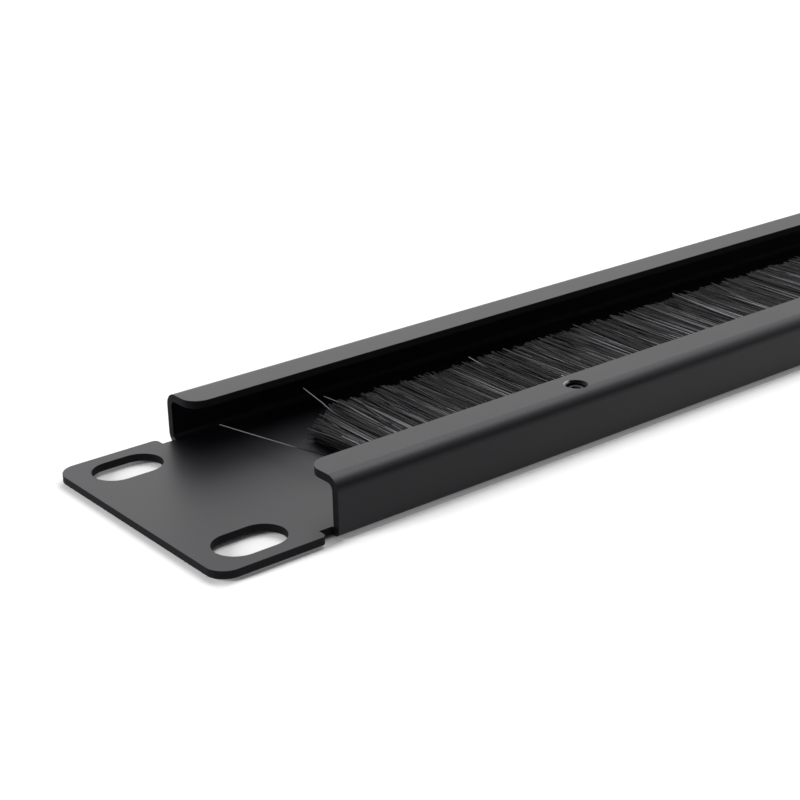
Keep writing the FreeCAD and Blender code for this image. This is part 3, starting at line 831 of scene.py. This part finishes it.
# %% The strays: painted light of root and tip, the Y in mm where it turns pale, its points in mm
STRAYS = (
    (0.00, 0.74, -1.0, ((-207.2, -15.6, 3.4), (-209.6, -9.5, 3.5), (-211.4, -4.0, 3.4),
                        (-214.0, 7.6, 3.2), (-215.8, 16.7, 3.0))),
    (0.45, 0.80, 4.0, ((-201.2, -15.6, 3.8), (-201.8, -6.0, 4.1), (-202.4, 4.0, 4.6),
                       (-202.2, 9.0, 5.4), (-202.0, 13.9, 6.2))),
    (0.45, 0.72, 6.0, ((-198.3, -15.6, 3.8), (-198.6, -4.0, 4.2), (-198.9, 6.0, 4.5),
                       (-199.2, 12.4, 4.5))),
    (0.40, 0.80, 3.5, ((-171.2, -15.6, 3.8), (-171.8, -6.0, 4.1), (-172.4, 3.2, 4.7),
                       (-172.7, 8.4, 5.5))),
    (0.40, 0.75, 5.5, ((76.0, -15.6, 3.8), (76.4, -4.0, 4.2), (77.4, 5.0, 4.8),
                       (77.8, 10.8, 5.6))),
    (0.40, 0.78, 5.5, ((163.0, -15.6, 3.8), (162.6, -4.0, 4.2), (162.0, 5.0, 4.8),
                       (161.6, 10.2, 5.8))),
    (0.40, 0.75, 5.5, ((118.0, -15.6, 3.8), (118.6, -4.0, 4.2), (120.0, 5.0, 4.7),
                       (120.6, 10.9, 5.2))),
    (0.10, 0.70, 3.0, ((206.9, -15.6, 3.6), (208.0, -7.0, 3.8), (209.8, 2.0, 3.8),
                       (210.6, 9.6, 3.6))),
)
STRAY_RADIUS = 0.08 * MM
STRAY_STEPS = 8
STRAY_FADE = 3.0 * MM
STRAY_REACH = 0.3
SIDES = 3


# %% Sweep each stray as a three-sided tube
def smooth_path(points):
    """Points along a Catmull-Rom curve through the given ones."""
    knots = [Vector(point) * MM for point in (points[0], *points, points[-1])]
    path = []
    for before, first, second, after in zip(knots, knots[1:], knots[2:], knots[3:]):
        for step in range(STRAY_STEPS):
            t = step / STRAY_STEPS
            path.append(0.5 * (2 * first + (second - before) * t
                               + (2 * before - 5 * first + 4 * second - after) * t * t
                               + (3 * first - before - 3 * second + after) * t ** 3))
    return [*path, knots[-1]]


def sweep(path, radius, base):
    """A closed tube along a path that runs in +Y. Its corners are numbered from base."""
    turns = [2 * math.pi * side / SIDES for side in range(SIDES)]
    around = [Vector((math.sin(turned), 0, math.cos(turned))) * radius for turned in turns]
    corners = [spot + offset for spot in path for offset in around]
    end = base + len(corners)
    faces = []
    for ring in range(base, end - SIDES, SIDES):
        for near in range(SIDES):
            far = (near + 1) % SIDES
            faces.append((ring + near, ring + far, ring + far + SIDES, ring + near + SIDES))
    faces += [tuple(range(base + SIDES - 1, base - 1, -1)), tuple(range(end - SIDES, end))]
    return corners, faces


def risen(corner, pale_from):
    """0 where the filament is still in the brush, 1 past the fade."""
    return min(max((corner.y - pale_from * MM) / STRAY_FADE, 0.0), 1.0)


# %% Put the strays in one piece
corners, faces, painted_lights, reaches = [], [], [], []
for root, tip, pale_from, points in STRAYS:
    path = smooth_path(points)
    tube, tube_faces = sweep(path, STRAY_RADIUS, len(corners))
    corners += tube
    faces += tube_faces
    painted_lights += [root + (tip - root) * risen(corner, pale_from) for corner in tube]
    reaches += [index // SIDES / (len(path) - 1) * STRAY_REACH for index in range(len(tube))]
stray_mesh = bpy.data.meshes.new("stray_filaments")
stray_mesh.from_pydata(corners, [], faces)
for label, values in (("painted_light", painted_lights), ("reach", reaches)):
    stray_mesh.attributes.new(label, "FLOAT", "POINT").data.foreach_set("value", values)
stray_mesh.materials.append(nylon)
strays = bpy.data.objects.new("stray_filaments", stray_mesh)
bpy.context.scene.collection.objects.link(strays)
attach(strays, "root")
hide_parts("bristles")
print("stray filaments", len(STRAYS), "faces", len(faces))

# %% [markdown]
# ## Floor, room and lamps
# The panel lies on a sheet of white paper, a hair above it, as a folded sheet never lies
# quite flat. The paper is pale and lit. More light would make it whiter still, but it
# would wash out the black of the panel. So the paper glows a little, only for the camera
# and for reflections: past the panel's rim, so that the shadow stays tight, and towards
# the horizon. The room is white to the camera. To reflections it is bright on the far
# side, which gives the lips their grey sheen, dark on the near side, which keeps the
# flanges black, and dimmer to the right, which keeps the lips even along their length.
# A wide softbox hangs overhead and to the right, and a low window on the left
# lights the paper beside the panel. The window stays out of reflections, or it would
# flare on the lips when they are seen from the other end.

# %% Floor
FLOOR_DROP = 0.6 * MM
FLOOR_SIZE = 6.0
bpy.ops.mesh.primitive_plane_add(size=FLOOR_SIZE, location=(0, 0, -FLOOR_DROP))
floor = bpy.context.object
floor.name = "floor"
print("paper mm below the panel", round(FLOOR_DROP / MM, 2))

# %% Paper, and where it glows
BLACK, WHITE = (0.0, 0.0, 0.0), (1.0, 1.0, 1.0)
PAPER_DULL, PAPER_BRIGHT = (0.92, 0.92, 0.92), (0.94, 0.94, 0.94)
GLOW, RIM_GLOW, HORIZON_GLOW = 0.14, 0.13, 0.30
HORIZON = (0.30, 1.20)
BESIDE = (-0.5 * MM, 1.5 * MM)
# The band just inside the panel's rim glows too: painted light that lifts the shadow under the
# panel's edge to an even grey.
UNDER_RIM = ((-2.6 * MM, -1.6 * MM), (-1.2 * MM, 0.2 * MM))
panel_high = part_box("panel")[1]
paper, start = new_material("white_paper", Roughness=0.9, Specular_IOR_Level=0.1,
                            Emission_Strength=1.0)
place = place_of(start)
x, y, _ = split(place)
fibres = noise(start, place, per_metre=30.0, detail=3.0)
sight = start.make("ShaderNodeLightPath")
seen = (sight + sight.other("Is Glossy Ray") + sight.other("Is Transmission Ray")).clamped()
past_end = x.math("ABSOLUTE", x) - panel_high.x
past_side = y.math("ABSOLUTE", y) - panel_high.y
past_rim = x.math("MAXIMUM", past_end, past_side)
glow = seen * (past_rim.ramp(*BESIDE) * GLOW + past_rim.band(*UNDER_RIM) * RIM_GLOW
               + length_of(x, y).ramp(*HORIZON) * HORIZON_GLOW)
feed(paper,
     Base_Color=blend(start, fibres, PAPER_DULL, PAPER_BRIGHT),
     Emission_Color=blend(start, glow, BLACK, WHITE))
floor.data.materials.append(paper)

# %% Room
FAR_SIDE, FAR_RISE = Vector((0.56, 0.73, 0.38)), (-0.20, 0.60)
FAR_WHITE, NEAR_DARK = 2.15, 0.12
OVERHEAD_GAIN, EVEN_HEIGHT = 0.9, 0.375
RIGHT_SIDE, RIGHT_DIMMING = (0.45, 1.00), 0.52
LOW_BAND, LOW_BAND_TOP = 0.45, (0.05, 0.22)
SOFT_FILL = 0.34
world = bpy.data.worlds.new("white_room")
bpy.context.scene.world = world
world.use_nodes = True
start = Signal(world.node_tree)
ray = start.make("ShaderNodeLightPath")
direction = start.make("ShaderNodeTexCoord").other("Generated")
toward = start.make("ShaderNodeVectorMath", {"operation": "DOT_PRODUCT"},
                    {0: direction, 1: FAR_SIDE}, output=1)
rightward, _, height = split(direction)
room = toward.ramp(*FAR_RISE) * (FAR_WHITE - NEAR_DARK) + NEAR_DARK
room = room * (1.0 - OVERHEAD_GAIN * EVEN_HEIGHT + height.clamped() * OVERHEAD_GAIN)
room = room * (1.0 - rightward.ramp(*RIGHT_SIDE) * RIGHT_DIMMING)
room = room.math("MAXIMUM", room, height.fall(*LOW_BAND_TOP) * LOW_BAND)
plain = (ray + ray.other("Is Transmission Ray")).clamped()
shiny = ray.other("Is Glossy Ray") * (1.0 - plain)
level = plain + shiny * room + (1.0 - plain) * (1.0 - shiny) * SOFT_FILL
background = world.node_tree.nodes["Background"]
background.inputs["Color"].default_value = (*WHITE, 1.0)
world.node_tree.links.new(level.socket, background.inputs["Strength"])
print("the room has", len(world.node_tree.nodes), "nodes")

# %% Softbox
SOFTBOX_AT, SOFTBOX_AIM = Vector((0.30, 0.10, 1.12)), Vector((-0.1, 0.0, 0.0))
softbox_light = bpy.data.lights.new("overhead_softbox", "AREA")
softbox_light.size = 0.8
softbox_light.energy = 7.5
softbox = bpy.data.objects.new("overhead_softbox", softbox_light)
softbox.location = SOFTBOX_AT
softbox.rotation_euler = (SOFTBOX_AIM - SOFTBOX_AT).to_track_quat("-Z", "Y").to_euler()
softbox.visible_camera = False
bpy.context.scene.collection.objects.link(softbox)
print("softbox width m", round(softbox_light.size, 2), "watts", softbox_light.energy)

# %% Window
TOWARDS_WINDOW = Vector((-0.905, 0.110, 0.407))
sun = bpy.data.lights.new("left_window", "SUN")
sun.energy = 2.7
sun.angle = math.radians(24)
window = bpy.data.objects.new("left_window", sun)
window.rotation_euler = TOWARDS_WINDOW.to_track_quat("Z", "Y").to_euler()
window.visible_glossy = False
bpy.context.scene.collection.objects.link(window)
elevation = math.degrees(math.asin(TOWARDS_WINDOW.normalized().z))
print("window stands at degrees", round(elevation, 1), "above the floor")

# %% [markdown]
# ## Camera
# The photo shows the left end of the panel from in front and above. A camera could be
# moved by hand until it looks right, but this one was worked out from the two rack slots,
# whose distance the rack standard fixes.

# %% Camera
CAMERA_AT = (-0.34124, -0.18590, 0.10090)
CAMERA_TURNED = (68.214, 1.271, -38.910)
camera_data = bpy.data.cameras.new("camera")
camera_data.lens = 75.62
camera_data.sensor_width = 36.0
camera_data.clip_start = 0.01
camera = bpy.data.objects.new("camera", camera_data)
camera.location = CAMERA_AT
camera.rotation_euler = [math.radians(turned) for turned in CAMERA_TURNED]
bpy.context.scene.collection.objects.link(camera)
bpy.context.scene.camera = camera
bpy.context.scene.view_settings.view_transform = "Standard"
print("camera height mm", round(camera.location.z / MM, 1))
